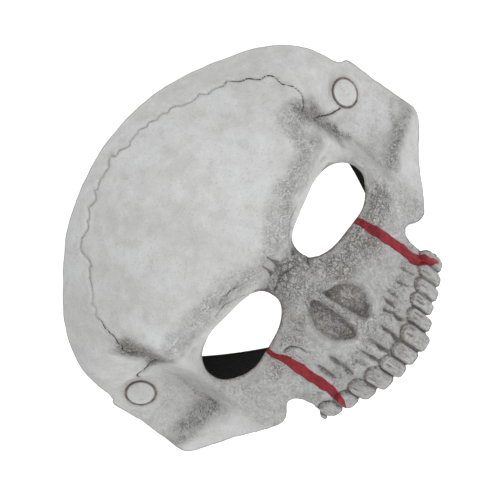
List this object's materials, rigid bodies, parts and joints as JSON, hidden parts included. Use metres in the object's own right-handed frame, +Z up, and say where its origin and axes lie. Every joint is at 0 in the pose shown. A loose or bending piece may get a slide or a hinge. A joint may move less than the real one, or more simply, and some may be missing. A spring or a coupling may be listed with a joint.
{
  "type": "half-face skull mask",
  "caption": "Half-face costume mask in moulded latex, shaped as the upper half of a skull, with an elastic strap riveted at the temples.",
  "frame": {"origin": "middle of the wearer's head between the temples, at the height of the eyes", "axes": "+Z up as worn, the face looks along -Y, +X to the wearer's left"},
  "size_m": [0.197, 0.096, 0.1816],
  "materials": {
    "painted_latex": "matte moulded latex, dry-brushed grey and brown paint",
    "painted_cap": "snap cap painted over with the mask",
    "cotton_cloth": "woven cotton patch glued inside",
    "black_plastic": "moulded black plastic",
    "steel_eyelet": "nickel-plated steel",
    "black_elastic": "woven black elastic",
    "thread": "black polyester thread"
  },
  "bodies": {
    "shell": {"face_shell": "painted_latex", "left_backing_patch": "cotton_cloth", "right_backing_patch": "cotton_cloth", "left_washer": "black_plastic", "right_washer": "black_plastic", "left_eyelet": "steel_eyelet", "right_eyelet": "steel_eyelet", "left_strap_end": "black_elastic", "right_strap_end": "black_elastic", "left_strap_stitching": "thread", "right_strap_stitching": "thread"},
    "left_stud": {"left_stud_cap": "painted_cap", "left_stud_socket": "black_plastic"},
    "right_stud": {"right_stud_cap": "painted_cap", "right_stud_socket": "black_plastic"},
    "strap": {"strap_band": "black_elastic"}
  },
  "joints": [
    {"name": "strap_swing", "type": "hinge", "parent": "shell", "child": "strap", "pos_m": [0, 0.013, 0.013], "axis": [1, 0, 0], "range_deg": [-15, 90]},
    {"name": "left_stud_spin", "type": "hinge", "parent": "shell", "child": "left_stud", "pos_m": [0.0875, -0.01169, 0.013], "axis": [0.4695, -0.8829, 0], "continuous": true},
    {"name": "right_stud_spin", "type": "hinge", "parent": "shell", "child": "right_stud", "pos_m": [-0.0875, -0.01169, 0.013], "axis": [-0.4695, -0.8829, 0], "continuous": true}
  ]
}
